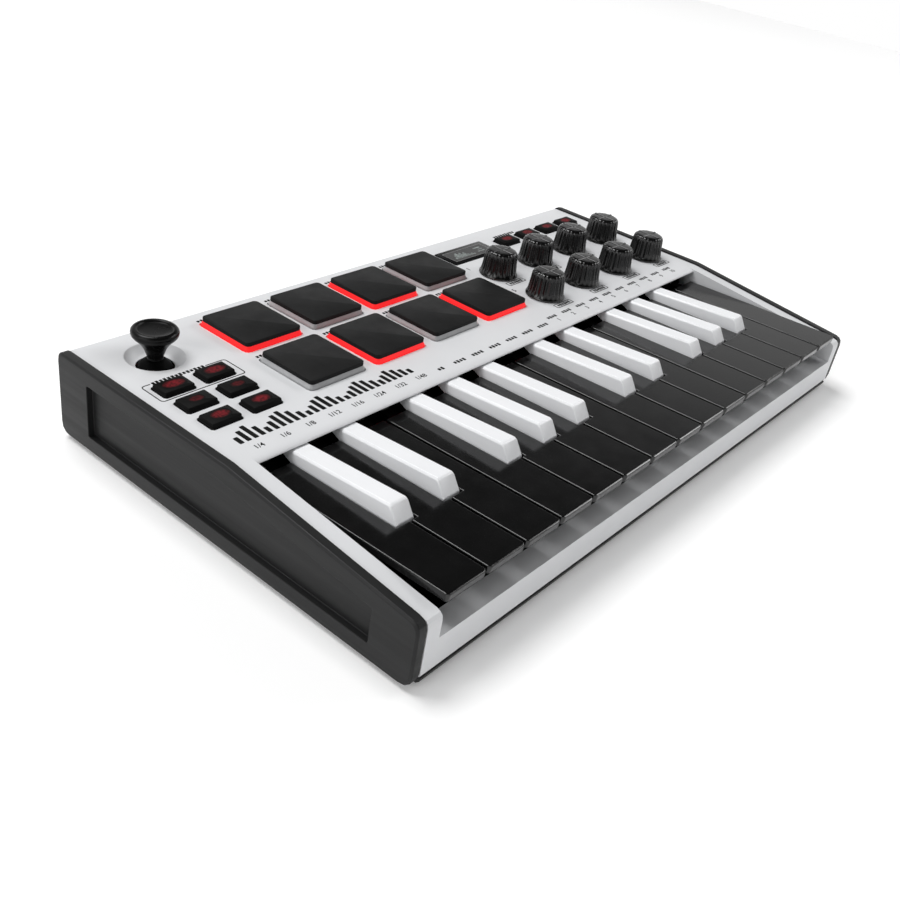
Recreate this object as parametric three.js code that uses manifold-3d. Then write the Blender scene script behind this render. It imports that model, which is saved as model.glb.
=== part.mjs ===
// Compact 25-key MIDI keyboard controller with eight drum pads, eight endless knobs, ten buttons and a
// two-axis joystick. Millimetres. X runs to the player's right, Y to the back, Z up; the origin is on the
// table under the middle of the case.
import * as THREE from "three";
import { ConvexGeometry } from "three/addons/geometries/ConvexGeometry.js";
import { mergeVertices } from "three/addons/utils/BufferGeometryUtils.js";
import Module from "manifold-3d";

const wasm = await Module();
wasm.setup();

// ---- driving dimensions ------------------------------------------------------------------------------
const WIDTH = 318;
const DEPTH = 177;
const BACK = DEPTH / 2;
const CHEEK_THICKNESS = 4;
const CHEEK_TOP = 35.5;
const CHEEK_FRONT_TOP = 26.85;
const CHEEK_BEND_Y = -4.3;
const BASE_Z = 1.5; // underside of the case, held up by the feet
const GAP = 0.3; // clearance between neighbouring pieces

const PANEL_TOP = 34.7;
const PANEL_UNDER = 32.2;
const PANEL_FRONT = -4.6; // where the panel starts to curve down over the keys
const LIP_Y = -7.2; // nose of the panel
const LIP_BOTTOM = 33.3;
const LIP_ROOT = -2.9; // back end of the thin lip
const WALL = 2.5;
const CASE_X = WIDTH / 2 - CHEEK_THICKNESS - GAP;
const SLOT_X = 148.35; // half width of the key slot
const LEDGE_Z = 16.4; // shelf under the key fronts
const LEDGE_BACK = -80;
const SPLIT_Z = 3.9; // seam between the upper and the lower case

const KEY_PITCH = 19.59;
const KEY_GAP = 1.2;
const KEY_FRONT = -87.7;
const KEY_BACK = -8;
const KEY_FRONT_TOP = 30.78;
const KEY_BACK_TOP = 28.9;
const KEY_SKIRT = 3.1;
const NATURALS = 15;
const PIVOT_Y = 0;
const PIVOT_Z = 26;
const ROD_R = 1.5;
const STEM_HALF = 2.5;
const STEM_BOTTOM = 24.4;
const STEM_TOP = 27.9;
const TAIL_Y = 7;

const SHARP_TOP_HALF = 4.15;
const SHARP_BASE_HALF = 4.4;
const SHARP_CLEARANCE = 0.5;
const SHARP_FRONT = -55.2;
const SHARP_BACK = -3.4;
const SHARP_BOTTOM = 26;
// Distance of each sharp's middle from the seam between its two naturals.
const SHARP_SHIFT = { cs: -1.65, ds: 1.65, fs: -2.47, gs: 0, as: 2.47 };

const PAD = 27.2;
const PAD_SKIRT = 29.2;
const PAD_X = [-88.8, -54, -19.2, 15.6];
const PAD_Y = [65, 29.8];
const PAD_HEIGHT = 3.5;
const PAD_SKIRT_HEIGHT = 1.9;

const KNOB_X = [47.4, 77.7, 108, 138.3];
const KNOB_Y = [45.9, 18];
const KNOB_RADIUS = 8.8;
const KNOB_HEIGHT = 11.9;
const KNOB_FLUTES = 14;

const BUTTON_W = 13.4;
const BUTTON_D = 8.8;
const BUTTON_HEIGHT = 1.8;
const LEFT_BUTTON_X = [-141.1, -123.2];
const LEFT_BUTTON_Y = [44.8, 32.2, 19.6];
const RIGHT_BUTTON_X = [85.7, 103.6, 121.5, 139.4];
const RIGHT_BUTTON_Y = 69.8;

const STICK_X = -132.3;
const STICK_Y = 67.4;
const STICK_PIVOT_Z = 27;
const DOME_R = 7.4;
const DISH_R = 11.1; // rim of the bowl round the stick, level with the panel
const DISH_Z = 30.8; // floor of that bowl
const STICK_HOLE_R = 7.1;
const CHEEK_SUNK = 2.5; // depth of the long panel in the outside of each cheek

const BOARD_TOP = 24.6;
const BOARD_THICKNESS = 1.6;
const USB_X = 95;
const JACK_X = 66;
const SOCKET_Z = 17.4;

// ---- solid helpers -----------------------------------------------------------------------------------
function solid(geometry) {
  const plain = new THREE.BufferGeometry();
  plain.setAttribute("position", geometry.getAttribute("position"));
  plain.setIndex(geometry.getIndex());
  const merged = mergeVertices(plain, 1e-4);
  const index = merged.getIndex().array;
  const faces = [];
  for (let i = 0; i < index.length; i += 3) {
    const [a, b, c] = [index[i], index[i + 1], index[i + 2]];
    if (a !== b && b !== c && c !== a) faces.push(a, b, c);
  }
  return new wasm.Manifold(
    new wasm.Mesh({
      numProp: 3,
      vertProperties: merged.getAttribute("position").array,
      triVerts: new Uint32Array(faces),
    }),
  );
}

function box(x0, x1, y0, y1, z0, z1) {
  const geometry = new THREE.BoxGeometry(x1 - x0, y1 - y0, z1 - z0);
  return solid(geometry.translate((x0 + x1) / 2, (y0 + y1) / 2, (z0 + z1) / 2));
}

function boxAt(x, y, width, depth, z0, z1) {
  return box(x - width / 2, x + width / 2, y - depth / 2, y + depth / 2, z0, z1);
}

function cylinder(radius, z0, z1, x, y, sides = 24) {
  const geometry = new THREE.CylinderGeometry(radius, radius, z1 - z0, sides);
  return solid(geometry.rotateX(Math.PI / 2).translate(x, y, (z0 + z1) / 2));
}

function cylinderX(radius, x0, x1, y, z, sides = 16) {
  const geometry = new THREE.CylinderGeometry(radius, radius, x1 - x0, sides);
  return solid(geometry.rotateZ(-Math.PI / 2).translate((x0 + x1) / 2, y, z));
}

function cylinderY(radius, y0, y1, x, z, sides = 16) {
  const geometry = new THREE.CylinderGeometry(radius, radius, y1 - y0, sides);
  return solid(geometry.translate(x, (y0 + y1) / 2, z));
}

// A closed outline whose corners [a, b, radius] are rounded by short arcs.
function outline(corners) {
  const points = [];
  corners.forEach(([a, b, radius = 0], i) => {
    const before = corners[(i + corners.length - 1) % corners.length];
    const after = corners[(i + 1) % corners.length];
    if (radius === 0) {
      points.push(new THREE.Vector2(a, b));
      return;
    }
    const corner = new THREE.Vector2(a, b);
    const toBefore = new THREE.Vector2(before[0] - a, before[1] - b).normalize();
    const toAfter = new THREE.Vector2(after[0] - a, after[1] - b).normalize();
    const half = Math.acos(THREE.MathUtils.clamp(toBefore.dot(toAfter), -1, 1)) / 2;
    const reach = radius / Math.tan(half);
    const start = corner.clone().addScaledVector(toBefore, reach);
    const end = corner.clone().addScaledVector(toAfter, reach);
    const steps = radius < 1.8 ? 1 : 3;
    for (let k = 0; k <= steps; k += 1) {
      const t = k / steps;
      const mid = start.clone().lerp(corner, t).lerp(corner.clone().lerp(end, t), t);
      points.push(mid);
    }
  });
  return new THREE.Shape(points);
}

function rectangle(width, depth, radius) {
  return outline([
    [-width / 2, -depth / 2, radius],
    [width / 2, -depth / 2, radius],
    [width / 2, depth / 2, radius],
    [-width / 2, depth / 2, radius],
  ]);
}

function slab(shape, z0, z1, x = 0, y = 0) {
  const geometry = new THREE.ExtrudeGeometry(shape, { depth: z1 - z0, bevelEnabled: false });
  return solid(geometry.translate(x, y, z0));
}

// The corners of a plan outline, at one height.
function slabRing(shape, z, x, y) {
  return shape.getPoints().map((p) => [x + p.x, y + p.y, z]);
}

// A (Y, Z) outline carried from x0 to x1.
function beam(shape, x0, x1) {
  const geometry = new THREE.ExtrudeGeometry(shape, { depth: x1 - x0, bevelEnabled: false });
  const turn = new THREE.Matrix4().makeBasis(
    new THREE.Vector3(0, 1, 0),
    new THREE.Vector3(0, 0, 1),
    new THREE.Vector3(1, 0, 0),
  );
  return solid(geometry.applyMatrix4(turn).translate(x0, 0, 0));
}

function hull(points) {
  return solid(new ConvexGeometry(points.map((p) => new THREE.Vector3(...p))));
}

// A profile of [radius, height] pairs, from axis to axis, turned about Z.
function turned(profile, x, y, sides = 32) {
  const points = profile.map(([r, z]) => new THREE.Vector2(r, z));
  const geometry = new THREE.LatheGeometry(points, sides);
  return solid(geometry.rotateX(Math.PI / 2).translate(x, y, 0));
}

function join(parts) {
  return parts.reduce((whole, part) => whole.add(part));
}

function cut(whole, parts) {
  return parts.reduce((rest, part) => rest.subtract(part), whole);
}

const keyboard = new THREE.Group();
keyboard.name = "midi_keyboard";

const MATERIALS = {
  shell: { color: 0xdfe1e4, roughness: 0.45, metalness: 0 },
  charcoal: { color: 0x35363a, roughness: 0.6, metalness: 0 },
  black: { color: 0x141416, roughness: 0.5, metalness: 0 },
  rubber: { color: 0x1d1d1f, roughness: 0.8, metalness: 0 },
  gloss: { color: 0x0a0a0b, roughness: 0.12, metalness: 0 },
  white: { color: 0xeeeef0, roughness: 0.35, metalness: 0 },
  glass: { color: 0x0d0e10, roughness: 0.08, metalness: 0 },
  board: { color: 0x12552f, roughness: 0.55, metalness: 0 },
  nylon: { color: 0x8d8f92, roughness: 0.6, metalness: 0 },
};

function add(name, body, material) {
  const { vertProperties, triVerts, numProp } = body.getMesh();
  const positions = new Float32Array(triVerts.length * 3);
  triVerts.forEach((v, i) => {
    for (let k = 0; k < 3; k += 1) positions[i * 3 + k] = vertProperties[v * numProp + k];
  });
  const geometry = new THREE.BufferGeometry();
  geometry.setAttribute("position", new THREE.BufferAttribute(positions, 3));
  geometry.computeVertexNormals();
  const mesh = new THREE.Mesh(geometry, new THREE.MeshStandardMaterial(MATERIALS[material]));
  mesh.name = name;
  keyboard.add(mesh);
}

// ---- key layout --------------------------------------------------------------------------------------
const OCTAVE = ["c", "d", "e", "f", "g", "a", "b"];
const SHARP_AFTER = { c: "cs", d: "ds", f: "fs", g: "gs", a: "as" };
const LEFT_SEAM = (-NATURALS / 2) * KEY_PITCH;

const naturals = [];
const sharps = [];
for (let i = 0; i < NATURALS; i += 1) {
  const letter = OCTAVE[i % 7];
  const octave = 3 + Math.floor(i / 7);
  const seam = LEFT_SEAM + i * KEY_PITCH;
  naturals.push({ name: `key_${letter}${octave}`, left: seam, right: seam + KEY_PITCH });
  const sharp = SHARP_AFTER[letter];
  if (sharp && i < NATURALS - 1) {
    const x = seam + KEY_PITCH + SHARP_SHIFT[sharp];
    sharps.push({ name: `key_${sharp}${octave}`, x, seam: seam + KEY_PITCH });
  }
}

const notchHalf = SHARP_BASE_HALF + SHARP_CLEARANCE;
naturals.forEach((key) => {
  const leftSharp = sharps.find((s) => Math.abs(s.seam - key.left) < 0.1);
  const rightSharp = sharps.find((s) => Math.abs(s.seam - key.right) < 0.1);
  const from = leftSharp ? leftSharp.x + notchHalf : key.left + KEY_GAP / 2;
  const to = rightSharp ? rightSharp.x - notchHalf : key.right - KEY_GAP / 2;
  key.stem = (from + to) / 2;
});
const stems = [...naturals.map((k) => k.stem), ...sharps.map((s) => s.x)].sort((a, b) => a - b);

// The narrow bar under every key, with the eye that turns on the hinge rod.
function keyStem(x, frontY) {
  return join([
    box(x - STEM_HALF, x + STEM_HALF, frontY, TAIL_Y, STEM_BOTTOM, STEM_TOP),
    cylinderX(ROD_R + 1.7, x - STEM_HALF, x + STEM_HALF, PIVOT_Y, PIVOT_Z, 12),
  ]);
}

function rodHole(x) {
  return cylinderX(ROD_R + GAP, x - STEM_HALF - 1, x + STEM_HALF + 1, PIVOT_Y, PIVOT_Z, 8);
}

const keyPlan = outline([
  [-(KEY_PITCH - KEY_GAP) / 2, KEY_FRONT - 0.01, 1.1],
  [(KEY_PITCH - KEY_GAP) / 2, KEY_FRONT - 0.01, 1.1],
  [(KEY_PITCH - KEY_GAP) / 2, KEY_BACK + 1],
  [-(KEY_PITCH - KEY_GAP) / 2, KEY_BACK + 1],
]);
const keyTop = outline([
  [KEY_FRONT + 0.4, KEY_FRONT_TOP - KEY_SKIRT],
  [KEY_BACK, KEY_BACK_TOP - KEY_SKIRT],
  [KEY_BACK, KEY_BACK_TOP],
  [KEY_FRONT, KEY_FRONT_TOP, 0.5],
]);

naturals.forEach((key) => {
  const [left, right] = [key.left + KEY_GAP / 2, key.right - KEY_GAP / 2];
  const notches = sharps
    .filter((s) => s.x + notchHalf > key.left && s.x - notchHalf < key.right)
    .map((s) => boxAt(s.x, -30, notchHalf * 2, -2 * (SHARP_FRONT - 0.7 + 30), 20, 40));
  const hollow = box(left + 1.3, right - 1.3, KEY_FRONT + 1.6, -60, 20, KEY_FRONT_TOP - 2.3);
  const plan = slab(keyPlan, 20, 40, (left + right) / 2);
  const plate = cut(beam(keyTop, left - 1, right + 1).intersect(plan), [...notches, hollow]);
  add(key.name, cut(plate.add(keyStem(key.stem, -70)), [rodHole(key.stem)]), "gloss");
});

// One cross-section of a sharp: drafted sides and chamfered top edges.
function sharpSection(x, y, top, bottom = SHARP_BOTTOM) {
  const chamfer = 0.7;
  return [
    [x - SHARP_BASE_HALF, y, bottom],
    [x + SHARP_BASE_HALF, y, bottom],
    [x + SHARP_TOP_HALF, y, top - chamfer],
    [x + SHARP_TOP_HALF - chamfer, y, top],
    [x - SHARP_TOP_HALF + chamfer, y, top],
    [x - SHARP_TOP_HALF, y, top - chamfer],
  ];
}

sharps.forEach(({ name, x }) => {
  const cap = hull([
    ...sharpSection(x, SHARP_BACK, 32.4, 29.6),
    ...sharpSection(x, -12, 33.14),
    ...sharpSection(x, -50.9, 35.86),
    ...sharpSection(x, -51.8, 35.4),
    ...sharpSection(x, SHARP_FRONT, 30.2),
  ]);
  add(name, cut(cap.add(keyStem(x, -50)), [rodHole(x)]), "white");
});

// ---- control panel and case --------------------------------------------------------------------------
const slope = (CHEEK_TOP - CHEEK_FRONT_TOP) / (CHEEK_BEND_Y + BACK);
const rimFrontTop = PANEL_TOP - slope * (BACK + PANEL_FRONT);
const shellSide = outline([
  [-BACK, SPLIT_Z, 1],
  [BACK, SPLIT_Z, 1],
  [BACK, PANEL_TOP, 2],
  [PANEL_FRONT, PANEL_TOP],
  [-BACK, rimFrontTop, 3],
]);

const padSpots = PAD_Y.flatMap((y) => PAD_X.map((x) => [x, y]));
const knobSpots = KNOB_Y.flatMap((y) => KNOB_X.map((x) => [x, y]));
const buttonSpots = [
  ...LEFT_BUTTON_Y.flatMap((y) => LEFT_BUTTON_X.map((x) => [x, y])),
  ...RIGHT_BUTTON_X.map((x) => [x, RIGHT_BUTTON_Y]),
];
const DISPLAY = { x: 54.3, y: 70.4, width: 35, depth: 14.2 };
const BOSSES = [
  [-150, 84],
  [150, 84],
  [0, 84],
];

const slotY = -BACK - 5;
const keySlot = beam(
  outline([
    [slotY, LEDGE_Z],
    [LIP_ROOT, LEDGE_Z],
    [LIP_ROOT, LIP_BOTTOM],
    [LIP_Y, LIP_BOTTOM],
    [LIP_Y - 0.05, LIP_BOTTOM + 0.15],
    [LIP_Y + 0.15, PANEL_TOP - 0.9],
    [LIP_Y + 0.7, PANEL_TOP - 0.5],
    [LIP_Y + 1.6, PANEL_TOP - 0.2],
    [PANEL_FRONT, PANEL_TOP - 0.05],
    [PANEL_FRONT + 0.8, PANEL_TOP],
    [PANEL_FRONT + 0.8, PANEL_TOP + 0.5],
    [slotY, PANEL_TOP + 0.5],
  ]),
  -SLOT_X,
  SLOT_X,
);
const cavity = join([
  box(-CASE_X + WALL, CASE_X - WALL, LIP_ROOT - 0.5, BACK - WALL, SPLIT_Z - 1, PANEL_UNDER),
  box(-SLOT_X, SLOT_X, LEDGE_BACK, LIP_ROOT, SPLIT_Z - 1, PANEL_UNDER),
  box(-SLOT_X, SLOT_X, -BACK + WALL, LEDGE_BACK + 0.5, SPLIT_Z - 1, LEDGE_Z - 2),
  box(SLOT_X + 2, CASE_X - 2, -78, LIP_Y + 0.6, SPLIT_Z - 1, 23),
  box(-CASE_X + 2, -SLOT_X - 2, -78, LIP_Y + 0.6, SPLIT_Z - 1, 23),
]);
const stickDish = turned(
  [
    [0, 27],
    [STICK_HOLE_R + 0.7, 27],
    [STICK_HOLE_R + 0.5, 29.2],
    [STICK_HOLE_R, DISH_Z - 0.5],
    [STICK_HOLE_R, DISH_Z],
    [STICK_HOLE_R + 0.9, DISH_Z + 0.2],
    [STICK_HOLE_R + 2.1, DISH_Z + 1.2],
    [STICK_HOLE_R + 3.3, DISH_Z + 2.7],
    [DISH_R, PANEL_TOP - 0.2],
    [DISH_R + 0.5, PANEL_TOP + 0.02],
    [0, PANEL_TOP + 0.02],
  ],
  STICK_X,
  STICK_Y,
  40,
);
const dishWall = cylinder(DISH_R + 2, 29.3, PANEL_UNDER + 0.5, STICK_X, STICK_Y, 24);
const padHole = rectangle(PAD_SKIRT + 2 * GAP, PAD_SKIRT + 2 * GAP, 2.4);
const buttonHole = rectangle(BUTTON_W + 2 * GAP, BUTTON_D + 2 * GAP, 0.9);
const displayRecess = rectangle(DISPLAY.width + 2 * GAP, DISPLAY.depth + 2 * GAP, 0.6);
const bosses = BOSSES.map(([x, y]) => cylinder(3, SPLIT_Z, PANEL_UNDER + 0.5, x, y, 8));

const topShell = cut(beam(shellSide, -CASE_X, CASE_X), [keySlot, cavity]);
const topCase = cut(join([topShell, ...bosses, dishWall]), [
  stickDish,
  ...padSpots.map(([x, y]) => slab(padHole, 30, 36, x, y)),
  ...buttonSpots.map(([x, y]) => slab(buttonHole, 30, 36, x, y)),
  ...knobSpots.map(([x, y]) => cylinder(3.6, 30, 36, x, y, 12)),
  slab(displayRecess, PANEL_TOP - 1.2, 36, DISPLAY.x, DISPLAY.y),
  boxAt(DISPLAY.x, DISPLAY.y, 26, 6, 30, 36),
  box(USB_X - 6.3, USB_X + 6.3, BACK - 4, BACK + 1, SOCKET_Z - 5.9, SOCKET_Z + 5.9),
  cylinderY(5.1, BACK - 4, BACK + 1, JACK_X, SOCKET_Z, 24),
]);
add("top_case", topCase, "shell");

// Flat tray with a chamfered lower edge, short posts under the board and key chassis, and four feet.
const trayEdge = outline([
  [-BACK + 1.2, BASE_Z],
  [BACK - 1.2, BASE_Z],
  [BACK, BASE_Z + 1.2],
  [BACK, SPLIT_Z - GAP],
  [-BACK, SPLIT_Z - GAP],
  [-BACK, BASE_Z + 1.2],
]);
const FEET = [
  [-134, -72],
  [134, -72],
  [-134, 72],
  [134, 72],
];
const SCREWS = [
  ...BOSSES,
  [-148, -82],
  [148, -82],
  [0, -80],
];
const POSTS = [-110, -36, 38, 116].flatMap((x) => [20, 74].map((y) => [x, y]));
const tray = join([
  beam(trayEdge, -CASE_X, CASE_X),
  ...FEET.map(([x, y]) => cylinder(6.5, 0, BASE_Z + 1, x, y, 20)),
  ...POSTS.map(([x, y]) => cylinder(2.5, 3, BOARD_TOP - BOARD_THICKNESS - GAP, x, y, 8)),
]);
const ventSlots = [-2, -1, 0, 1, 2].map((k) => boxAt(k * 6, 40, 2, 24, 0, 10));
const bottomCase = cut(tray, [
  ...SCREWS.map(([x, y]) => cylinder(3.2, 0, BASE_Z + 1, x, y, 12)),
  ...ventSlots,
]);
add("bottom_case", bottomCase, "black");

// End cheeks: 4 mm side plates with a chamfered outer edge and a long shallow panel sunk in the outside.
function cheek(side) {
  const outlineAt = (inset) =>
    outline([
      [-BACK + inset, BASE_Z + inset, 5 - inset],
      [BACK - inset, BASE_Z + inset, 5 - inset],
      [BACK - inset, CHEEK_TOP - inset, 3],
      [CHEEK_BEND_Y, CHEEK_TOP - inset],
      [-BACK + inset, CHEEK_FRONT_TOP - inset, 4],
    ]);
  const sunk = outline([
    [-70.6, 8, 0.4],
    [70.7, 8, 0.4],
    [70.7, 29.2, 0.4],
    [0, 29.2],
    [-70.6, 21.7, 0.4],
  ]);
  const edge = 0.7;
  const inner = CASE_X + GAP;
  const outer = WIDTH / 2;
  const ring = (shape, x) => shape.getPoints().map((p) => [side * x, p.x, p.y]);
  const plate = hull([
    ...ring(outlineAt(0), inner),
    ...ring(outlineAt(0), outer - edge),
    ...ring(outlineAt(edge), outer),
  ]);
  const [x0, x1] = side > 0 ? [outer - CHEEK_SUNK, outer + 1] : [-outer - 1, CHEEK_SUNK - outer];
  return plate.subtract(beam(sunk, x0, x1));
}
add("left_cheek", cheek(-1), "charcoal");
add("right_cheek", cheek(1), "charcoal");

add(
  "display_window",
  slab(rectangle(DISPLAY.width, DISPLAY.depth, 0.6), PANEL_TOP - 0.9, PANEL_TOP + 0.4, DISPLAY.x, DISPLAY.y),
  "glass",
);

// ---- inside ------------------------------------------------------------------------------------------
// Key chassis: floor, stop rails and the hinge rod held between the keys.
const BED_TOP = 15;
const rodPosts = stems.slice(1).map((x, i) => (x + stems[i]) / 2);
const keyBed = join([
  box(-147, 147, LEDGE_BACK + 0.5, 8, BED_TOP - 2, BED_TOP),
  box(-147, 147, -68, -60, BED_TOP - 0.5, 21.4),
  box(-147, 147, -48, -42, BED_TOP - 0.5, 22.2),
  box(-147, 147, 4, 6.5, BED_TOP - 0.5, STEM_BOTTOM - GAP),
  cylinderX(ROD_R, -147, 147, PIVOT_Y, PIVOT_Z, 8),
  ...[-146, ...rodPosts, 146].map((x) => boxAt(x, PIVOT_Y, 1.6, 3, BED_TOP - 0.5, PIVOT_Z + 0.5)),
  ...[-138, -46, 46, 138].map((x) => box(x - 1.5, x + 1.5, -66, 6, SPLIT_Z, BED_TOP - 1)),
]);
add("key_bed", keyBed, "nylon");

// Main board with its sensors, switches, encoders, joystick posts and the two sockets at the back.
const stickPosts = [-1, 1].map((s) =>
  boxAt(STICK_X, STICK_Y + s * 4.4, 2.4, 1, BOARD_TOP - 0.5, STICK_PIVOT_Z + 1.4),
);
const board = join([
  box(-147, 147, 11, 79.6, BOARD_TOP - BOARD_THICKNESS, BOARD_TOP),
  ...padSpots.map(([x, y]) => boxAt(x, y, 22, 22, BOARD_TOP - 0.5, 28.6)),
  ...knobSpots.map(([x, y]) => boxAt(x, y, 11, 11, BOARD_TOP - 0.5, 29.2)),
  ...buttonSpots.map(([x, y]) => boxAt(x, y, 6, 6, BOARD_TOP - 0.5, 29)),
  boxAt(DISPLAY.x, DISPLAY.y, 30, 12, BOARD_TOP - 0.5, 30.5),
  ...stickPosts,
  box(USB_X - 6, USB_X + 6, 70, BACK - 0.2, SOCKET_Z - 5.6, BOARD_TOP - 1),
  box(JACK_X - 6, JACK_X + 6, 64, BACK - WALL - GAP, SOCKET_Z - 6, BOARD_TOP - 1),
  cylinderY(4.8, 80, BACK - 0.2, JACK_X, SOCKET_Z, 24),
]);
const boardCuts = [
  box(USB_X - 4.4, USB_X + 4.4, 79.5, BACK + 1, SOCKET_Z - 4.2, SOCKET_Z + 4.2),
  cylinderY(3.3, 70, BACK + 1, JACK_X, SOCKET_Z, 20),
  boxAt(STICK_X, STICK_Y, 7.8, 7.4, 20, BOARD_TOP + 0.1),
  cylinderY(1.05, STICK_Y - 8, STICK_Y + 8, STICK_X, STICK_PIVOT_Z, 10),
  box(USB_X - 7, USB_X + 7, 79.7, BACK + 1, SOCKET_Z + 5.6, 30),
];
add("circuit_board", cut(board, boardCuts), "board");

// ---- pads, knobs, buttons ----------------------------------------------------------------------------
padSpots.forEach(([x, y], i) => {
  const top = PANEL_TOP + PAD_HEIGHT;
  const step = PANEL_TOP + PAD_SKIRT_HEIGHT;
  const layers = [
    slab(rectangle(PAD_SKIRT, PAD_SKIRT, 2.2), 29.9, PANEL_TOP + 0.5, x, y),
    hull([
      ...slabRing(rectangle(PAD_SKIRT - 0.2, PAD_SKIRT - 0.2, 2.2), PANEL_TOP + 0.4, x, y),
      ...slabRing(rectangle(PAD + 0.6, PAD + 0.6, 2.2), step, x, y),
    ]),
    slab(rectangle(PAD, PAD, 2), step - 0.2, top - 0.4, x, y),
    slab(rectangle(PAD - 0.8, PAD - 0.8, 1.7), top - 0.6, top, x, y),
  ];
  add(`pad_${i + 1}`, join(layers), "rubber");
});

// Rings of a fluted knob: [height, radius, flute depth] above the panel.
const KNOB_RINGS = [
  [0.4, KNOB_RADIUS, 0],
  [1.1, KNOB_RADIUS - 0.1, 0],
  [2.6, KNOB_RADIUS - 0.9, 0.35],
  [10.9, 7.2, 0.5],
  [KNOB_HEIGHT, 6.2, 0.1],
];
function flutedKnob(x, y) {
  const sides = KNOB_FLUTES * 2;
  const points = [];
  KNOB_RINGS.forEach(([height, radius, depth]) => {
    for (let k = 0; k < sides; k += 1) {
      const angle = (k / sides) * 2 * Math.PI;
      const r = radius - depth * (k % 2);
      points.push(x + r * Math.cos(angle), y + r * Math.sin(angle), PANEL_TOP + height);
    }
  });
  const last = KNOB_RINGS.length - 1;
  points.push(x, y, PANEL_TOP + KNOB_RINGS[0][0], x, y, PANEL_TOP + KNOB_RINGS[last][0]);
  const low = sides * (last + 1);
  const faces = [];
  for (let k = 0; k < sides; k += 1) {
    const next = (k + 1) % sides;
    for (let ring = 0; ring < last; ring += 1) {
      const [a, b] = [ring * sides + k, ring * sides + next];
      faces.push(a, b, b + sides, a, b + sides, a + sides);
    }
    faces.push(low, next, k, low + 1, last * sides + k, last * sides + next);
  }
  const geometry = new THREE.BufferGeometry();
  geometry.setAttribute("position", new THREE.Float32BufferAttribute(points, 3));
  geometry.setIndex(faces);
  return solid(geometry);
}
knobSpots.forEach(([x, y], i) => {
  add(`knob_${i + 1}`, flutedKnob(x, y).add(cylinder(3, 29.5, PANEL_TOP + 1, x, y, 12)), "rubber");
});

buttonSpots.forEach(([x, y], i) => {
  const flange = PANEL_TOP + 0.4;
  const layers = [
    slab(rectangle(BUTTON_W, BUTTON_D, 0.8), 30.3, flange, x, y),
    hull([
      ...slabRing(rectangle(BUTTON_W - 0.7, BUTTON_D - 0.7, 0.8), flange - 0.2, x, y),
      ...slabRing(rectangle(BUTTON_W - 1.2, BUTTON_D - 1.2, 0.6), PANEL_TOP + BUTTON_HEIGHT, x, y),
    ]),
  ];
  add(`button_${i + 1}`, join(layers), "black");
});

// ---- joystick ----------------------------------------------------------------------------------------
// The stick, its mushroom cap and the dome that closes the panel hole turn about one point.
function arc(radius, fromDegrees, toDegrees, steps) {
  return Array.from({ length: steps + 1 }, (_, i) => {
    const a = THREE.MathUtils.degToRad(fromDegrees + ((toDegrees - fromDegrees) * i) / steps);
    return [radius * Math.sin(a), STICK_PIVOT_Z + radius * Math.cos(a)];
  });
}
const stickProfile = [
  [0, STICK_PIVOT_Z - 1.6],
  [1.5, STICK_PIVOT_Z - 1.6],
  ...arc(DOME_R - 1, 13.6, 80, 5),
  ...arc(DOME_R, 80, 24, 6),
  [2.95, PANEL_TOP],
  [3.45, PANEL_TOP + 1.3],
  [3.9, PANEL_TOP + 2.7],
  [4.5, PANEL_TOP + 4.1],
  [5.25, PANEL_TOP + 5.3],
  [6.1, PANEL_TOP + 6.4],
  [7.9, PANEL_TOP + 8.1],
  [8.6, PANEL_TOP + 9.2],
  [8.7, PANEL_TOP + 10.2],
  [8.2, PANEL_TOP + 11.1],
  [7.4, PANEL_TOP + 11.5],
  [6.5, PANEL_TOP + 11.3],
  [5.9, PANEL_TOP + 10.6],
  [3, PANEL_TOP + 10.2],
  [0, PANEL_TOP + 10.1],
];
const stick = turned(stickProfile, STICK_X, STICK_Y, 24).add(
  cylinderX(0.7, STICK_X - 2.9, STICK_X + 2.9, STICK_Y, STICK_PIVOT_Z, 8),
);
add("joystick", stick, "black");

const gimbal = cut(
  join([
    cylinder(3.4, STICK_PIVOT_Z - 1.4, STICK_PIVOT_Z + 1.4, STICK_X, STICK_Y, 16).subtract(
      cylinder(2.3, STICK_PIVOT_Z - 2, STICK_PIVOT_Z + 2, STICK_X, STICK_Y, 16),
    ),
    cylinderY(0.8, STICK_Y - 4.7, STICK_Y - 2.8, STICK_X, STICK_PIVOT_Z, 8),
    cylinderY(0.8, STICK_Y + 2.8, STICK_Y + 4.7, STICK_X, STICK_PIVOT_Z, 8),
  ]),
  [cylinderX(1, STICK_X - 6, STICK_X + 6, STICK_Y, STICK_PIVOT_Z, 10)],
);
add("joystick_gimbal", gimbal, "nylon");

export default keyboard;
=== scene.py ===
# Visual model of the compact MIDI keyboard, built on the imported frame. Metres, Z up, keys towards -Y.
import math

import bmesh
import bpy
from mathutils import Matrix, Vector


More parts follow.
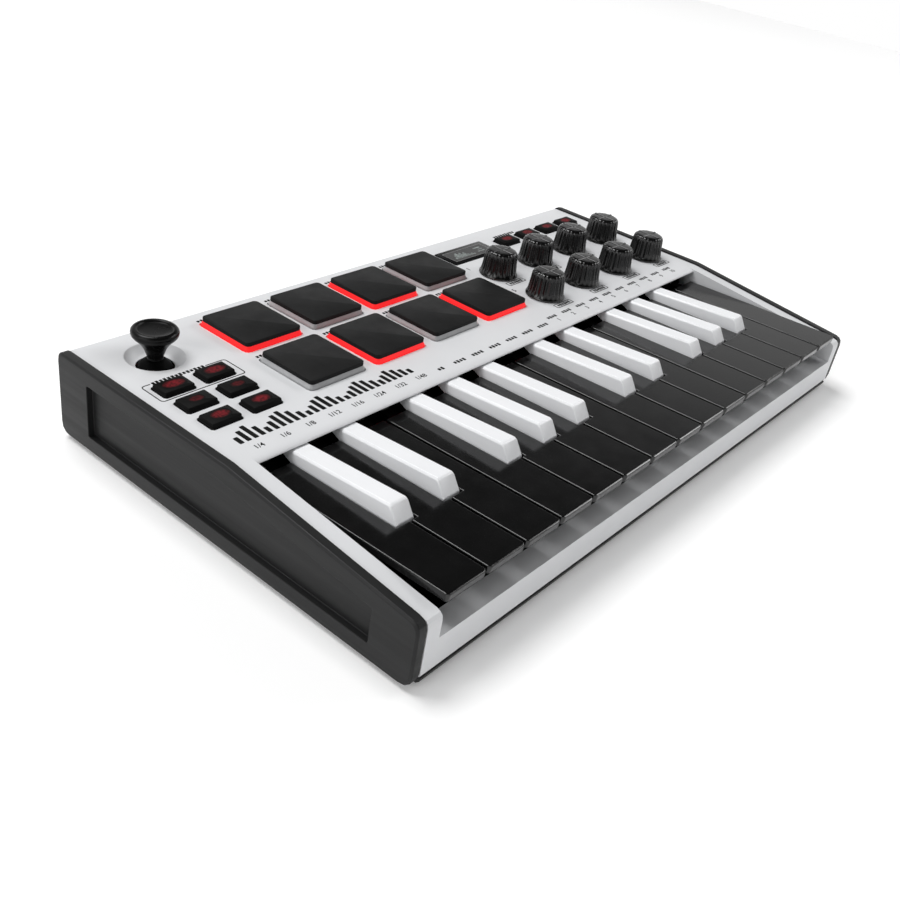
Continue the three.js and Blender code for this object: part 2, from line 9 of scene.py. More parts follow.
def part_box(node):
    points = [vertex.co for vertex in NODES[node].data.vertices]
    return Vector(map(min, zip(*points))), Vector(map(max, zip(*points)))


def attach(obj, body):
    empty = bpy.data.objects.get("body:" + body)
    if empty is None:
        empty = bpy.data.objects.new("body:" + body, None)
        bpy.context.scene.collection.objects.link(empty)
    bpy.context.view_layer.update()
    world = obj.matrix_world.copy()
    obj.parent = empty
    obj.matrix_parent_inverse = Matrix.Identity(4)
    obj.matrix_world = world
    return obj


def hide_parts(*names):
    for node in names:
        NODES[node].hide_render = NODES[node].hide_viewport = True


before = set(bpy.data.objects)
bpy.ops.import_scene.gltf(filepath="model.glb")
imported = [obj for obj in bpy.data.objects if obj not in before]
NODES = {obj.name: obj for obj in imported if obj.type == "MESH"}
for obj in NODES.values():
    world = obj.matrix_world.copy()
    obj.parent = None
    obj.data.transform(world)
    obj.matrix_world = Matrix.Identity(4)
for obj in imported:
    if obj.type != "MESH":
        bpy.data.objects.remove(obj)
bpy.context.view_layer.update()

MM = 0.001
ROOT = "case"
COLLECTION = bpy.context.scene.collection

PANEL_TOP = 0.0347  # height of the control panel
PRINT = 0.00004  # thickness of printed ink
# Limits of the hidden insides of the case, whose white faces are coloured matt black as painted shade; each
# stops just short of a visible face.
BACK_WALL = 0.0877  # back wall of the case
FRONT_WALL = -0.0871  # front wall of the case
SIDE_WALL = 0.1538
UNDER_PANEL = 0.0305
USB = (0.095, 0.0174)  # x and z of the middle of the USB socket
JACK = (0.066, 0.0174)  # and of the pedal socket
NATURALS = [n for n in NODES if n.startswith("key_") and len(n) == 6]
SHARPS = [n for n in NODES if n.startswith("key_") and len(n) == 7 and n[5] == "s"]
LIT_PADS = ("pad_1", "pad_3", "pad_6", "pad_8")


# ---- camera ------------------------------------------------------------------------------------------
def make_camera():
    data = bpy.data.cameras.new("camera")
    data.lens = 40.76
    data.sensor_width = 36
    data.clip_start = 0.01
    data.clip_end = 50
    camera = bpy.data.objects.new("camera", data)
    camera.location = (-0.334304, -0.210707, 0.219639)
    camera.rotation_euler = [math.radians(a) for a in (57.592, -8.349, -49.806)]
    COLLECTION.objects.link(camera)
    bpy.context.scene.camera = camera


# ---- materials ---------------------------------------------------------------------------------------
class Surface:
    """A Principled material whose colour, roughness and relief come from procedural textures."""

    def __init__(self, name, roughness=0.5, metallic=0.0, **sockets):
        self.material = bpy.data.materials.new(name)
        self.material.use_nodes = True
        self.tree = self.material.node_tree
        self.shader = self.tree.nodes["Principled BSDF"]
        self.shader.inputs["Roughness"].default_value = roughness
        self.shader.inputs["Metallic"].default_value = metallic
        for key, value in sockets.items():
            self.shader.inputs[key.replace("_", " ")].default_value = value
        self.place = self.node("ShaderNodeTexCoord").outputs["Object"]

    def node(self, kind, **settings):
        made = self.tree.nodes.new(kind)
        for key, value in settings.items():
            setattr(made, key, value)
        return made

    def link(self, source, target):
        self.tree.links.new(source, target)

    def noise(self, scale, detail=3.0, stretch=(1, 1, 1)):
        texture = self.node("ShaderNodeTexNoise")
        texture.inputs["Scale"].default_value = scale
        texture.inputs["Detail"].default_value = detail
        mapping = self.node("ShaderNodeMapping")
        mapping.inputs["Scale"].default_value = stretch
        self.link(self.place, mapping.inputs["Vector"])
        self.link(mapping.outputs["Vector"], texture.inputs["Vector"])
        return texture.outputs["Fac"]

    def ramp(self, source, stops):
        ramp = self.node("ShaderNodeValToRGB")
        ramp.color_ramp.elements[0].position = stops[0][0]
        ramp.color_ramp.elements[0].color = (*stops[0][1], 1)
        ramp.color_ramp.elements[1].position = stops[-1][0]
        ramp.color_ramp.elements[1].color = (*stops[-1][1], 1)
        for position, colour in stops[1:-1]:
            ramp.color_ramp.elements.new(position).color = (*colour, 1)
        self.link(source, ramp.inputs["Fac"])
        return ramp.outputs["Color"]

    def mottle(self, dark, light, scale=60.0, detail=4.0, stretch=(1, 1, 1)):
        """Base colour that drifts between two close tones."""
        self.link(
            self.ramp(self.noise(scale, detail, stretch), [(0.3, dark), (0.7, light)]),
            self.shader.inputs["Base Color"],
        )
        return self

    def gloss(self, low, high, scale=90.0, detail=5.0, stretch=(1, 1, 1)):
        """Roughness that drifts between two values."""
        spread = self.node("ShaderNodeMapRange")
        spread.inputs["From Min"].default_value = 0.3
        spread.inputs["From Max"].default_value = 0.7
        spread.inputs["To Min"].default_value = low
        spread.inputs["To Max"].default_value = high
        self.link(self.noise(scale, detail, stretch), spread.inputs["Value"])
        self.link(spread.outputs["Result"], self.shader.inputs["Roughness"])
        return self

    def grain(self, scale, strength, depth=0.00005, stretch=(1, 1, 1)):
        """Fine moulded relief."""
        bump = self.node("ShaderNodeBump")
        bump.inputs["Strength"].default_value = strength
        bump.inputs["Distance"].default_value = depth
        self.link(self.noise(scale, 2.0, stretch), bump.inputs["Height"])
        self.link(bump.outputs["Normal"], self.shader.inputs["Normal"])
        return self


def grey(value, tint=(1.0, 1.0, 1.0)):
    return tuple(value * t for t in tint)


COOL = (0.985, 0.995, 1.015)  # a faint blue cast
ALONG_SIDE = (1, 0.04, 1)  # draws a texture out into streaks from front to back
shell = Surface("shell_satin", IOR=1.45).mottle(grey(0.70, COOL), grey(0.73, COOL), 25).gloss(0.36, 0.46)
shell.grain(2600, 0.18)
charcoal = Surface("cheek_charcoal", Specular_IOR_Level=0.26)
charcoal.mottle(grey(0.0095, COOL), grey(0.0135, COOL), 40, stretch=ALONG_SIDE)
charcoal.gloss(0.40, 0.56, 260, stretch=(1, 0.03, 1)).grain(1500, 0.35, stretch=ALONG_SIDE)
tray_black = Surface("tray_black").mottle(grey(0.008), grey(0.013), 50).gloss(0.5, 0.65).grain(1800, 0.4)
# Matt black: the own colour of the key bed and gimbal, and painted shade on hidden faces coloured black.
black_and_painted_shade = Surface("black_and_painted_shade", Specular_IOR_Level=0.03)
black_and_painted_shade.mottle(grey(0.001), grey(0.002), 50).gloss(0.75, 0.9)
key_black = Surface("key_gloss_black", IOR=1.52).mottle(grey(0.0028, COOL), grey(0.004, COOL), 30)
key_black.gloss(0.14, 0.2, 140).grain(900, 0.02)
key_white = Surface("key_satin_white").mottle(grey(0.87, COOL), grey(0.90, COOL), 30)
key_white.gloss(0.28, 0.36, 120).grain(1600, 0.05)
pad_rubber = Surface("pad_rubber", Specular_IOR_Level=0.11)
pad_rubber.mottle(grey(0.0075, COOL), grey(0.0105, COOL), 120).gloss(0.5, 0.62).grain(3200, 0.35)
knob_rubber = Surface("knob_rubber", Specular_IOR_Level=0.48).mottle(grey(0.0012), grey(0.0025), 160)
knob_rubber.gloss(0.15, 0.23, 200).grain(3000, 0.25)
button_black = Surface("button_black", Specular_IOR_Level=0.06).mottle(grey(0.003), grey(0.005), 120)
button_black.gloss(0.45, 0.55).grain(2600, 0.3)
stick_black = Surface("stick_black", Specular_IOR_Level=0.16)
stick_black.mottle(grey(0.003), grey(0.005), 120).gloss(0.22, 0.34).grain(2600, 0.15)
dome_black = Surface("dome_black", Specular_IOR_Level=0.06)
dome_black.mottle(grey(0.001), grey(0.002), 120).gloss(0.5, 0.6)
foot_rubber = Surface("foot_rubber").mottle(grey(0.010), grey(0.016), 150).gloss(0.7, 0.85).grain(2500, 0.5)
ink = Surface("ink_black", Specular_IOR_Level=0.1).mottle(grey(0.003), grey(0.006), 400).gloss(0.6, 0.75)
board_green = Surface("board_green").mottle((0.012, 0.10, 0.04), (0.018, 0.14, 0.055), 60).gloss(0.35, 0.5)
steel = Surface("screw_steel", metallic=1.0).mottle(grey(0.42), grey(0.52), 300).gloss(0.25, 0.4, 400)
socket_white = Surface("socket_tongue").mottle(grey(0.5), grey(0.6), 200).gloss(0.35, 0.5)
bezel_black = Surface("bezel_gloss", Specular_IOR_Level=0.12)
bezel_black.mottle(grey(0.006), grey(0.009), 60).gloss(0.1, 0.18)
bezel_line = Surface("bezel_line").mottle(grey(0.16), grey(0.21), 300).gloss(0.3, 0.4)
screen_dark = Surface("screen_dark").mottle(grey(0.018), grey(0.028), 500).gloss(0.12, 0.2)
screen_lit = Surface("screen_lit", Emission_Strength=0.22)
screen_lit.mottle(grey(0.05), grey(0.08), 300).gloss(0.15, 0.25)
screen_lit.link(
    screen_lit.ramp(screen_lit.noise(420, 2), [(0.35, (0.25, 0.31, 0.29)), (0.65, (0.85, 1.0, 0.95))]),
    screen_lit.shader.inputs["Emission Color"],
)
skirt_grey = Surface("skirt_unlit", Specular_IOR_Level=0.4).mottle(grey(0.36, COOL), grey(0.42, COOL), 200)
skirt_grey.gloss(0.3, 0.42)
skirt_red = Surface("skirt_lit", Specular_IOR_Level=0.25, Emission_Strength=0.8)
skirt_red.mottle((0.30, 0.008, 0.008), (0.36, 0.010, 0.010), 200).gloss(0.4, 0.5)
skirt_red.link(
    skirt_red.ramp(skirt_red.noise(35, 2), [(0.3, (1.0, 0.014, 0.018)), (0.7, (1.0, 0.022, 0.026))]),
    skirt_red.shader.inputs["Emission Color"],
)


def legend_surface(name, strength):
    """A soft red glow that fades out towards the edge of its patch and breaks up like tiny lettering."""
    surface = Surface(name, Specular_IOR_Level=0.06)
    surface.mottle(grey(0.003), grey(0.005), 120).gloss(0.45, 0.55)
    patch = surface.node("ShaderNodeMapping")
    patch.inputs["Location"].default_value = (-1, -1, 0)
    patch.inputs["Scale"].default_value = (2, 2, 0)
    surface.link(surface.node("ShaderNodeTexCoord").outputs["Generated"], patch.inputs["Vector"])
    fade = surface.node("ShaderNodeTexGradient", gradient_type="SPHERICAL")
    surface.link(patch.outputs["Vector"], fade.inputs["Vector"])
    glow = surface.node("ShaderNodeMath", operation="MULTIPLY")
    surface.link(surface.ramp(fade.outputs["Fac"], [(0.0, grey(0)), (0.45, grey(1))]), glow.inputs[0])
    surface.link(surface.ramp(surface.noise(900, 1), [(0.35, grey(0.35)), (0.6, grey(1))]), glow.inputs[1])
    level = surface.node("ShaderNodeMath", operation="MULTIPLY")
    level.inputs[1].default_value = strength
    surface.link(glow.outputs["Value"], level.inputs[0])
    surface.link(level.outputs["Value"], surface.shader.inputs["Emission Strength"])
    surface.shader.inputs["Emission Color"].default_value = (1.0, 0.045, 0.075, 1)
    return surface


legend_bright = legend_surface("legend_bright", 0.17)
legend_dim = legend_surface("legend_dim", 0.08)


# ---- mesh helpers ------------------------------------------------------------------------------------
def add_piece(name, mesh, surface, body=ROOT, sharp=32):
    mesh.materials.append(surface.material)
    mesh.polygons.foreach_set("use_smooth", [True] * len(mesh.polygons))
    mesh.set_sharp_from_angle(angle=math.radians(sharp))
    piece = bpy.data.objects.new(name, mesh)
    COLLECTION.objects.link(piece)
    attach(piece, body)
    return piece


def rounded(width, depth, radius, steps=6):
    """Corner points of a rounded rectangle round the origin."""
    points = []
    for k, (sx, sy) in enumerate(((1, 1), (-1, 1), (-1, -1), (1, -1))):
        cx = sx * (width / 2 - radius)
        cy = sy * (depth / 2 - radius)
        for i in range(steps + 1):
            angle = math.radians(90 * k + 90 * i / steps)
            points.append((cx + radius * math.cos(angle), cy + radius * math.sin(angle)))
    return points


def circle(radius, sides=48):
    return [
        (radius * math.cos(2 * math.pi * k / sides), radius * math.sin(2 * math.pi * k / sides))
        for k in range(sides)
    ]


def stack(rings):
    """A closed mesh through rings of points, each ring a list of (x, y, z), lowest first."""
    bm = bmesh.new()
    loops = [[bm.verts.new(p) for p in ring] for ring in rings]
    for low, high in zip(loops, loops[1:]):
        for k in range(len(low)):
            n = (k + 1) % len(low)
            bm.faces.new((low[k], low[n], high[n], high[k]))
    bm.faces.new(reversed(loops[0]))
    bm.faces.new(loops[-1])
    mesh = bpy.data.meshes.new("mesh")
    bm.to_mesh(mesh)
    bm.free()
    return mesh


def block(centre, size, layers, radius, steps=6):
    """A rounded slab: layers are (height, inset) pairs over the panel plan of this size, in mm."""
    x, y = centre
    rings = []
    for height, inset in layers:
        plan = rounded(
            (size[0] - 2 * inset) * MM,
            (size[1] - 2 * inset) * MM,
            max(radius - inset, 0.15) * MM,
            steps,
        )
        rings.append([(x + px, y + py, PANEL_TOP + height * MM) for px, py in plan])
    return stack(rings)


def turned(profile, centre, sides=64):
    """A closed mesh turned about a vertical axis; profile is (radius, height) in mm, over the panel."""
    x, y = centre
    rings = [[(x + px, y + py, PANEL_TOP + z * MM) for px, py in circle(r * MM, sides)] for r, z in profile]
    return stack(rings)


def merge(meshes):
    bm = bmesh.new()
    for mesh in meshes:
        bm.from_mesh(mesh)
    joined = bpy.data.meshes.new("mesh")
    bm.to_mesh(joined)
    bm.free()
    return joined


def node_centre(node):
    low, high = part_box(node)
    return ((low.x + high.x) / 2, (low.y + high.y) / 2)


def refine(node, surface, width, segments=2, angle=30, hidden=None):
    """Keeps a CAD node, with rounded edges and a real surface; faces that pass hidden() turn matt black,
    which is painted shade where the part is not black itself.
    """
    piece = NODES[node]
    piece.data.materials.clear()
    piece.data.materials.append(surface.material)
    if hidden:
        piece.data.materials.append(black_and_painted_shade.material)
        spots = [piece.matrix_world @ vertex.co for vertex in piece.data.vertices]
        for polygon in piece.data.polygons:
            polygon.material_index = int(all(hidden(spots[v]) for v in polygon.vertices))
    for name in ("custom_normal", "sharp_edge", "sharp_face"):
        attribute = piece.data.attributes.get(name)
        if attribute:
            piece.data.attributes.remove(attribute)
    piece.data.polygons.foreach_set("use_smooth", [True] * len(piece.data.polygons))
    weld = piece.modifiers.new("weld", "WELD")
    weld.merge_threshold = 0.000002
    flat = piece.modifiers.new("flat", "DECIMATE")
    flat.decimate_type = "DISSOLVE"
    flat.delimit = {"MATERIAL"}
    flat.angle_limit = math.radians(1)
    bevel = piece.modifiers.new("bevel", "BEVEL")
    bevel.width = width * MM
    bevel.segments = segments
    bevel.limit_method = "ANGLE"
    bevel.angle_limit = math.radians(angle)
    bevel.harden_normals = True
    bevel.use_clamp_overlap = True


# ---- case and keys -----------------------------------------------------------------------------------
# Painted shade: the white shell's faces inside the case are coloured black.
def inside_case(p):
    return abs(p.x) < SIDE_WALL and FRONT_WALL < p.y < BACK_WALL and p.z < UNDER_PANEL


def in_sockets(p):
    """The USB and pedal sockets on the board, by a box round both."""
    middle = (USB[0] + JACK[0]) / 2
    return p.y > 0.0635 and abs(p.x - middle) < 0.023 and p.z < 0.0245


def under_natural(p):
    return p.z < 0.0282 and p.y > -0.0865


def in_stem(middle):
    """The narrow bar under a white sharp whose middle is at this x; its faces are coloured black as painted
    shade under the panel lip.
    """
    return lambda p: abs(p.x - middle) < 0.00255 and p.z < 0.0295


def finish_case():
    refine("top_case", shell, 0.35, hidden=inside_case)
    refine("bottom_case", tray_black, 0.3)
    refine("left_cheek", charcoal, 0.35, 3)
    refine("right_cheek", charcoal, 0.35, 3)
    refine("key_bed", black_and_painted_shade, 0.15, 1)
    refine("circuit_board", board_green, 0.15, 1, hidden=in_sockets)
    refine("joystick_gimbal", black_and_painted_shade, 0.1, 1)
    for node in NATURALS:
        refine(node, key_black, 0.6, 3, hidden=under_natural)
    for node in SHARPS:
        # Painted shade: the stem behind each white sharp's cap is coloured black.
        refine(node, key_white, 0.25, hidden=in_stem(node_centre(node)[0]))


# ---- pads --------------------------------------------------------------------------------------------
PAD_CAP = 27.8  # width of the rubber cap, mm
PAD_SKIRT = 28.9  # width of the skirt under it


def make_pads():
    for number in range(1, 9):
        node = f"pad_{number}"
        centre = node_centre(node)
        cap_layers = [(1.8, 0.12), (1.88, 0.0), (3.25, 0.0), (3.42, 0.07), (3.5, 0.24)]
        cap_mesh = block(centre, (PAD_CAP, PAD_CAP), cap_layers, 1.8)
        cap = add_piece(f"{node}_cap", cap_mesh, pad_rubber, node)
        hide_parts(node)
        skirt_layers = [(-4.5, 0.3), (-4.2, 0.0), (0.45, 0.0), (0.6, 0.06), (1.78, 0.66), (1.84, 1.5)]
        lit = node in LIT_PADS
        add_piece(
            f"{node}_skirt",
            block(centre, (PAD_SKIRT, PAD_SKIRT), skirt_layers, 2.1),
            skirt_red if lit else skirt_grey,
            node,
        )


# ---- knobs -------------------------------------------------------------------------------------------
KNOB_PROFILE = [  # radius, height, flute depth
    (9.0, 0.4, 0.0),
    (9.25, 0.55, 0.0),
    (9.22, 0.95, 0.0),
    (8.95, 1.25, 0.02),
    (8.7, 1.9, 0.12),
    (8.5, 2.8, 0.34),
    (8.32, 4.0, 0.42),
    (8.05, 6.5, 0.45),
    (7.85, 9.0, 0.45),
    (7.68, 10.5, 0.42),
    (7.42, 11.3, 0.32),
    (6.95, 11.85, 0.18),
    (6.3, 12.15, 0.05),
    (5.4, 12.27, 0.0),
    (3.0, 12.3, 0.0),
]
FLUTES = 24
FLUTE_SIDES = 8  # sides of the mesh to each flute
RIDGE_WIDTH = 1.0  # the two crossed ridges on a knob's top, mm
RIDGE_LENGTH = 12.4


def make_knobs():
    sides = FLUTES * FLUTE_SIDES
    for number in range(1, 9):
        node = f"knob_{number}"
        x, y = node_centre(node)
        rings = []
        for radius, height, depth in KNOB_PROFILE:
            ring = []
            for k in range(sides):
                angle = 2 * math.pi * k / sides
                flute = 0.5 - 0.5 * math.cos(angle * FLUTES)
                r = (radius - depth * flute) * MM
                ring.append((x + r * math.cos(angle), y + r * math.sin(angle), PANEL_TOP + height * MM))
            rings.append(ring)
        shaft = turned([(3.0, -5.1), (3.0, 0.45)], (x, y), 24)
        knob = add_piece(node + "_body", merge([stack(rings), shaft]), knob_rubber, node, 50)
        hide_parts(node)
        ridge_layers = [(12.1, 0.0), (12.42, 0.0), (12.52, 0.15)]
        ridge = block((x, y), (RIDGE_WIDTH, RIDGE_LENGTH), ridge_layers, 0.3, 3)
        cross = block((x, y), (RIDGE_LENGTH, RIDGE_WIDTH), ridge_layers, 0.3, 3)
        add_piece(node + "_ridges", merge([ridge, cross]), knob_rubber, node)


# ---- buttons -----------------------------------------------------------------------------------------
BUTTON_SIZE = (13.4, 8.8)  # mm


def legend_size(number):
    """Width and depth of the red glow on a button, in mm."""
    if number < 3:
        return (9.6, 5.0)
    if number < 5:
        return (6.4, 3.6)
    return (8.2, 4.8)


def make_buttons():
    foot = [(-4.4, 0.2), (-4.2, 0.0), (0.28, 0.0), (0.4, 0.1)]
    top = [(0.44, 0.34), (1.5, 0.56), (1.7, 0.64), (1.8, 0.85)]
    layers = foot + top
    for number in range(1, 11):
        node = f"button_{number}"
        x, y = node_centre(node)
        cap = block((x, y), BUTTON_SIZE, layers, 1.0, 4)
        button = add_piece(node + "_cap", cap, button_black, node)
        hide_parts(node)
        patch = block((x + 0.2 * MM, y + 0.3 * MM), legend_size(number), [(1.74, 0), (1.82, 0)], 1.6, 4)
        legend = legend_dim if number in (3, 4) else legend_bright
        add_piece(node + "_legend", patch, legend, node)


# ---- joystick ----------------------------------------------------------------------------------------
STICK_PIVOT = -7.7  # height of the joystick's pivot over the panel, mm
DOME_RADIUS = 7.4


def make_joystick():
    centre = node_centre("joystick")
    dome = [
        (DOME_RADIUS * math.cos(math.radians(a)), STICK_PIVOT + DOME_RADIUS * math.sin(math.radians(a)))
        for a in range(10, 66, 5)
    ]
    neck = [(2.98, -0.75), (2.93, -0.4), (2.95, 0.0), (3.15, 0.6), (3.45, 1.4), (3.68, 2.1), (3.93, 2.8)]
    flare = [
        (4.22, 3.5), (4.57, 4.2), (4.95, 4.8), (5.4, 5.45),
        (5.95, 6.1), (6.6, 6.8), (7.3, 7.5), (7.95, 8.15),
    ]
    rim = [(8.4, 8.75), (8.65, 9.4), (8.72, 10.0), (8.6, 10.6), (8.3, 11.05), (7.8, 11.4), (7.25, 11.55)]
    bowl = [(6.75, 11.5), (6.4, 11.3), (6.2, 11.0), (6.05, 10.8), (5.9, 10.75), (4.0, 10.62), (1.0, 10.55)]
    mesh = turned([(2.0, -1.4)] + neck + flare + rim + bowl, centre, 96)
    stick = add_piece("joystick_stick", mesh, stick_black, "joystick", 60)
    add_piece("joystick_dome", turned(dome, centre, 72), dome_black, "joystick", 60)
    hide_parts("joystick")


# ---- display -----------------------------------------------------------------------------------------
def make_display():
    x, y = centre = node_centre("display_window")
    layers = [(-0.9, 0.1), (-0.8, 0.0), (0.2, 0.0), (0.36, 0.08), (0.4, 0.25)]
    frame_mesh = block(centre, (35, 14.2), layers, 0.7, 4)
    bezel = add_piece("display_bezel", frame_mesh, bezel_black, ROOT)
    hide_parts("display_window")
    line = block((x, y), (29.0, 9.6), [(0.3, 0), (0.42, 0)], 0.3, 2)
    add_piece("display_line", line, bezel_line, ROOT)
    screen = block((x, y), (28.4, 9.0), [(0.3, 0), (0.43, 0)], 0.25, 2)
    add_piece("display_screen", screen, screen_dark, ROOT)
    levels = [1.4, 3.2, 4.6, 5.4, 4.0, 5.0, 3.4, 4.4, 2.2, 1.2, 1.8, 1.0]
    bar_layers = [(0.3, 0), (0.44, 0)]
    bars = [
        block((x + (-11.2 + 1.25 * i) * MM, y + (-2.9 + h / 2) * MM), (0.9, h), bar_layers, 0.1, 1)
        for i, h in enumerate(levels)
    ]
    bars += [
        block((x + dx * MM, y + dy * MM), (w, 0.9), bar_layers, 0.1, 1)
        for dx, dy, w in ((8.6, 1.9, 5.2), (9.6, 0.1, 3.2), (8.6, -1.7, 5.2))
    ]
    add_piece("display_levels", merge(bars), screen_lit, ROOT)


# ---- print -------------------------------------------------------------------------------------------
BOLD = 0.00003  # how far the strokes of a printed digit are widened


def ink_bar(x, y, width, depth, radius=0.15):
    return block((x * MM, y * MM), (width, depth), [(0, 0), (PRINT / MM, 0)], radius, 2)


def ink_text(text, x, y, size):
    curve = bpy.data.curves.new("text", "FONT")
    curve.body = text
    curve.size = size * MM
    curve.align_x = "CENTER"
    curve.align_y = "CENTER"
    curve.extrude = PRINT / 2
    curve.offset = BOLD
    carrier = bpy.data.objects.new("text", curve)
    COLLECTION.objects.link(carrier)
    bpy.context.view_layer.update()
    mesh = bpy.data.meshes.new_from_object(carrier.evaluated_get(bpy.context.evaluated_depsgraph_get()))
    bpy.data.objects.remove(carrier)
    mesh.transform(Matrix.Translation((x * MM, y * MM, PANEL_TOP + PRINT / 2)))
    return mesh


def ink_stroke(points, line):
    """A thin printed line through a row of points, in mm."""
    count = len(points)
    loops = []
    for k, (x, y) in enumerate(points):
        ax, ay = points[max(k - 1, 0)]
        bx, by = points[min(k + 1, count - 1)]
        along = Vector((bx - ax, by - ay)).normalized() * line / 2
        sides = [(x - along.y, y + along.x), (x + along.y, y - along.x)]
        loops.append([(px * MM, py * MM, PANEL_TOP + h) for h in (0, PRINT) for px, py in sides])
    bm = bmesh.new()
    rows = [[bm.verts.new(point) for point in loop] for loop in loops]
    for near, far in zip(rows, rows[1:]):
        for i, j in ((0, 1), (1, 3), (3, 2), (2, 0)):
            bm.faces.new((near[i], near[j], far[j], far[i]))
    bm.faces.new([rows[0][i] for i in (0, 2, 3, 1)])
    bm.faces.new([rows[-1][i] for i in (0, 1, 3, 2)])
    mesh = bpy.data.meshes.new("mesh")
    bm.to_mesh(mesh)
    bm.free()
    return mesh


def ink_box(x, y, width, depth, line, radius, gap=(0, 0)):
    """An outline with rounded corners, open along the top edge over the stretch gap = (centre, length)."""
    corners = [(x + px, y + py) for px, py in rounded(width, depth, radius, 3)]
    if not gap[1]:
        return ink_stroke(corners + corners[:1], line)
    top = y + depth / 2
    start, end = (x + gap[0] - gap[1] / 2, top), (x + gap[0] + gap[1] / 2, top)
    return ink_stroke([start] + corners[4:] + corners[:4] + [end], line)


def ink_word(x, y, letters, size):
    """A plain row of short dashes that stands where a printed word would be."""
    pitch = size * 0.72
    return [
        ink_bar(x + (k - (letters - 1) / 2) * pitch, y, size * 0.5, size * (0.62 + 0.16 * (k % 2)), 0.1)
        for k in range(letters)
    ]


LABELS = 25  # labels in the row over the keys
FIRST_LABEL_X = -141.6
LABEL_PITCH = 11.5
NUMBERED_FROM = 15  # the first label that carries a number


def make_print():
    parts = []
    fractions = ["1/4", "1/6", "1/8", "1/12", "1/16", "1/24", "1/32", "1/48"]
    for i in range(LABELS):
        x = FIRST_LABEL_X + LABEL_PITCH * i
        if i < len(fractions):
            parts.append(ink_text(fractions[i], x, -0.8, 3.2))
        elif i < NUMBERED_FROM:
            parts += ink_word(x, -1.0, 2 if i == 8 else 4, 2.5)
        else:
            parts += ink_word(x - 0.4, 1.9, 4, 2.4)
            parts.append(ink_text(str(i - NUMBERED_FROM + 1), x + 0.4, -1.7, 3.3))
    for number in range(1, 9):
        x, y = (c / MM for c in node_centre(f"knob_{number}"))
        parts.append(ink_box(x + 0.2, y - 10.8, 12.4, 3.0, 0.4, 0.5))
        parts += ink_word(x + 0.2, y - 10.8, 6, 2.2)
        parts.append(ink_text(str(number), x - 8.8, y + 11.2, 3.6))
        x, y = (c / MM for c in node_centre(f"pad_{number}"))
        parts += ink_word(x - 11.6, y + 16.2, 3, 2.3)
        parts.append(ink_text(str((number + 3) % 8 + 1), x - 8.0, y + 16.2, 3.2))
    parts.append(ink_box(-131.6, 45.4, 36.6, 12.2, 0.45, 1.2, (-2.5, 24)))
    parts += ink_word(-134.1, 51.5, 14, 2.3)
    parts += ink_word(92, 76.9, 9, 2.7)
    add_piece("panel_print", merge(parts), ink, ROOT)
    heights = [
        4.2, 6.8, 8.6, 6.0, 3.4, 5.4, 8.0, 9.0, 7.0, 4.6, 3.0, 5.0, 7.4, 8.4, 6.2, 3.8,
        2.6, 4.4, 6.6, 8.2, 7.2, 5.2, 3.6, 5.6, 7.6, 6.4, 4.8, 3.2
    ]
    bars = [ink_bar(-145 + 3.1 * i, 3.4 + h / 2, 1.9, h, 0.3) for i, h in enumerate(heights)]
    add_piece("panel_graphic", merge(bars), ink, ROOT)


# ---- underside and back ------------------------------------------------------------------------------
def level(mesh, height):
    """Moves a mesh made over the panel so that the panel level becomes this height in mm."""
    mesh.transform(Matrix.Translation((0, 0, height * MM - PANEL_TOP)))
    return mesh


def make_underside():
    for i, (x, y) in enumerate(((-134, -72), (134, -72), (-134, 72), (134, 72))):
        sole = [(6.2, 0.0), (6.75, 0.25), (6.8, 1.2), (6.6, 1.45), (5.0, 1.46)]
        mesh = level(turned(sole, (x * MM, y * MM), 40), 0)
        add_piece(f"foot_{i + 1}", mesh, foot_rubber, ROOT)
    for i, (x, y) in enumerate(((-150, 84), (150, 84), (0, 84), (-148, -82), (148, -82), (0, -80))):
        head = [(2.3, 1.85), (2.7, 2.05), (2.75, 2.5), (2.0, 2.6)]
        recess = [(1.2, 1.82), (1.2, 1.9)]
        screw = level(turned(head, (x * MM, y * MM), 28), 0)
        drive = level(turned(recess, (x * MM, y * MM), 6), 0)
        add_piece(f"screw_{i + 1}", screw, steel, ROOT)
        add_piece(f"screw_{i + 1}_drive", drive, tray_black, ROOT)


TO_BACK = Matrix.Rotation(-math.pi / 2, 4, "X")  # turns a piece made upright to point out of the back
TONGUE_ROOT = 0.0806  # y where the USB tongue starts
RING_ROOT = 0.0725  # and the jack's contact


def make_sockets():
    """The contacts that show in the two openings of the back wall."""
    x, z = USB
    tongue = level(block((0, 0), (5.6, 3.4), [(0, 0.1), (0.2, 0), (5.8, 0), (6.0, 0.2)], 0.3, 2), 0)
    tongue.transform(Matrix.Translation((x, TONGUE_ROOT, z)) @ TO_BACK)
    add_piece("usb_tongue", tongue, socket_white, ROOT)
    x, z = JACK
    profile = ((2.2, 0), (2.6, 0.2), (2.6, 1.2))
    ring = stack([[(px, py, h * MM) for px, py in circle(r * MM, 32)] for r, h in profile])
    ring.transform(Matrix.Translation((x, RING_ROOT, z)) @ TO_BACK)
    add_piece("jack_contact", ring, steel, ROOT)


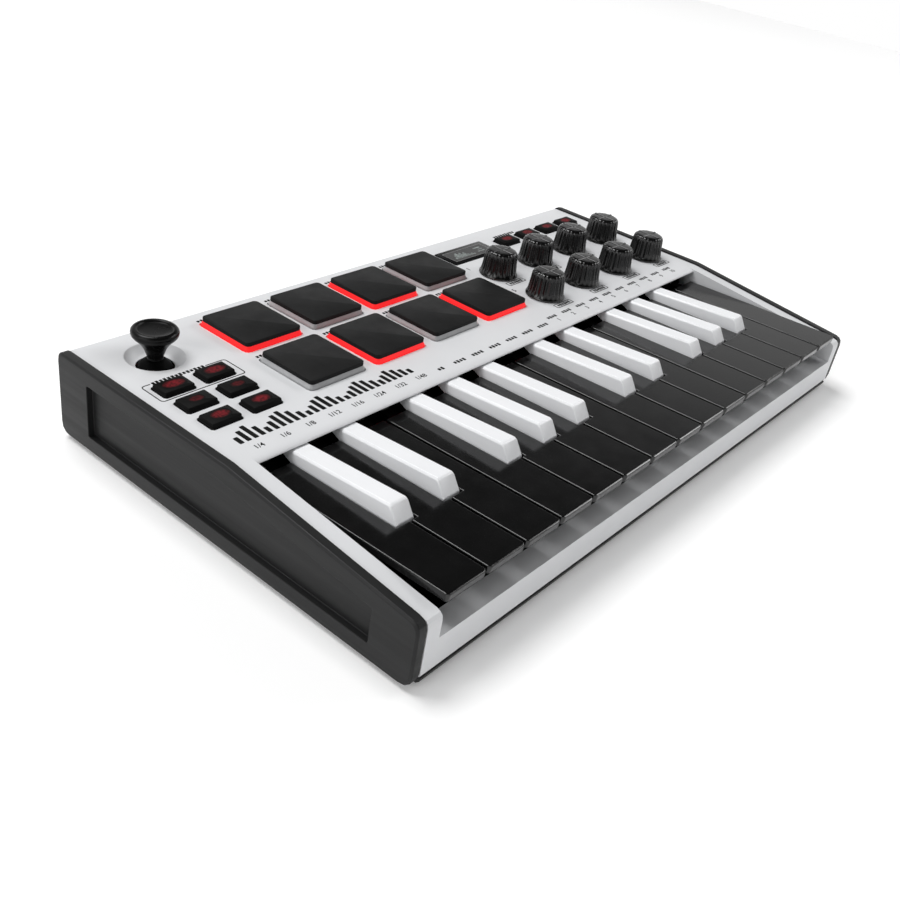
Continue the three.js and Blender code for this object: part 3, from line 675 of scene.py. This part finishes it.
# ---- floor and light ---------------------------------------------------------------------------------
def make_stage():
    floor_surface = Surface("floor_pale", Specular_IOR_Level=0.2, Emission_Strength=0.15)
    floor_surface.shader.inputs["Emission Color"].default_value = (1, 1, 1, 1)
    floor_surface.mottle(grey(0.93), grey(0.95), 2, 2).gloss(0.6, 0.7, 3)
    bm = bmesh.new()
    bmesh.ops.create_grid(bm, x_segments=2, y_segments=2, size=1.4)
    mesh = bpy.data.meshes.new("floor")
    bm.to_mesh(mesh)
    bm.free()
    mesh.materials.append(floor_surface.material)
    floor = bpy.data.objects.new("floor", mesh)
    COLLECTION.objects.link(floor)

    world = bpy.data.worlds.new("studio")
    world.use_nodes = True
    tree = world.node_tree
    split = tree.nodes.new("ShaderNodeSeparateXYZ")
    ramp = tree.nodes.new("ShaderNodeValToRGB")
    tree.links.new(tree.nodes.new("ShaderNodeTexCoord").outputs["Generated"], split.inputs["Vector"])
    tree.links.new(split.outputs["Z"], ramp.inputs["Fac"])
    tree.links.new(ramp.outputs["Color"], tree.nodes["Background"].inputs["Color"])
    steps = ramp.color_ramp.elements
    steps[0].position, steps[0].color = 0.05, (*grey(1.0), 1)
    steps[1].position, steps[1].color = 0.6, (*grey(0.03), 1)
    for position, brightness in ((0.25, 0.75), (0.39, 0.5), (0.46, 0.13), (0.52, 0.05)):
        steps.new(position).color = (*grey(brightness), 1)
    bpy.context.scene.world = world

    def soft_light(name, location, size, radiance):
        data = bpy.data.lights.new(name, "AREA")
        data.shape = "RECTANGLE"
        data.size, data.size_y = size
        data.energy = math.pi * size[0] * size[1] * radiance
        light = bpy.data.objects.new(name, data)
        light.location = location
        light.rotation_euler = (-Vector(location)).to_track_quat("-Z", "Y").to_euler()
        COLLECTION.objects.link(light)

    soft_light("key_soft", (-0.35, 1.3, 2.7), (1.9, 1.3), 9.3)
    soft_light("right_strip", (1.8, -0.7, 1.35), (1.3, 0.45), 7)
    soft_light("left_soft", (-1.8, 0.2, 0.95), (1.3, 1.0), 2.8)
    bpy.context.scene.view_settings.view_transform = "Standard"
    bpy.context.scene.view_settings.look = "None"


make_camera()
make_stage()
finish_case()
make_pads()
make_knobs()
make_buttons()
make_joystick()
make_display()
make_print()
make_underside()
make_sockets()
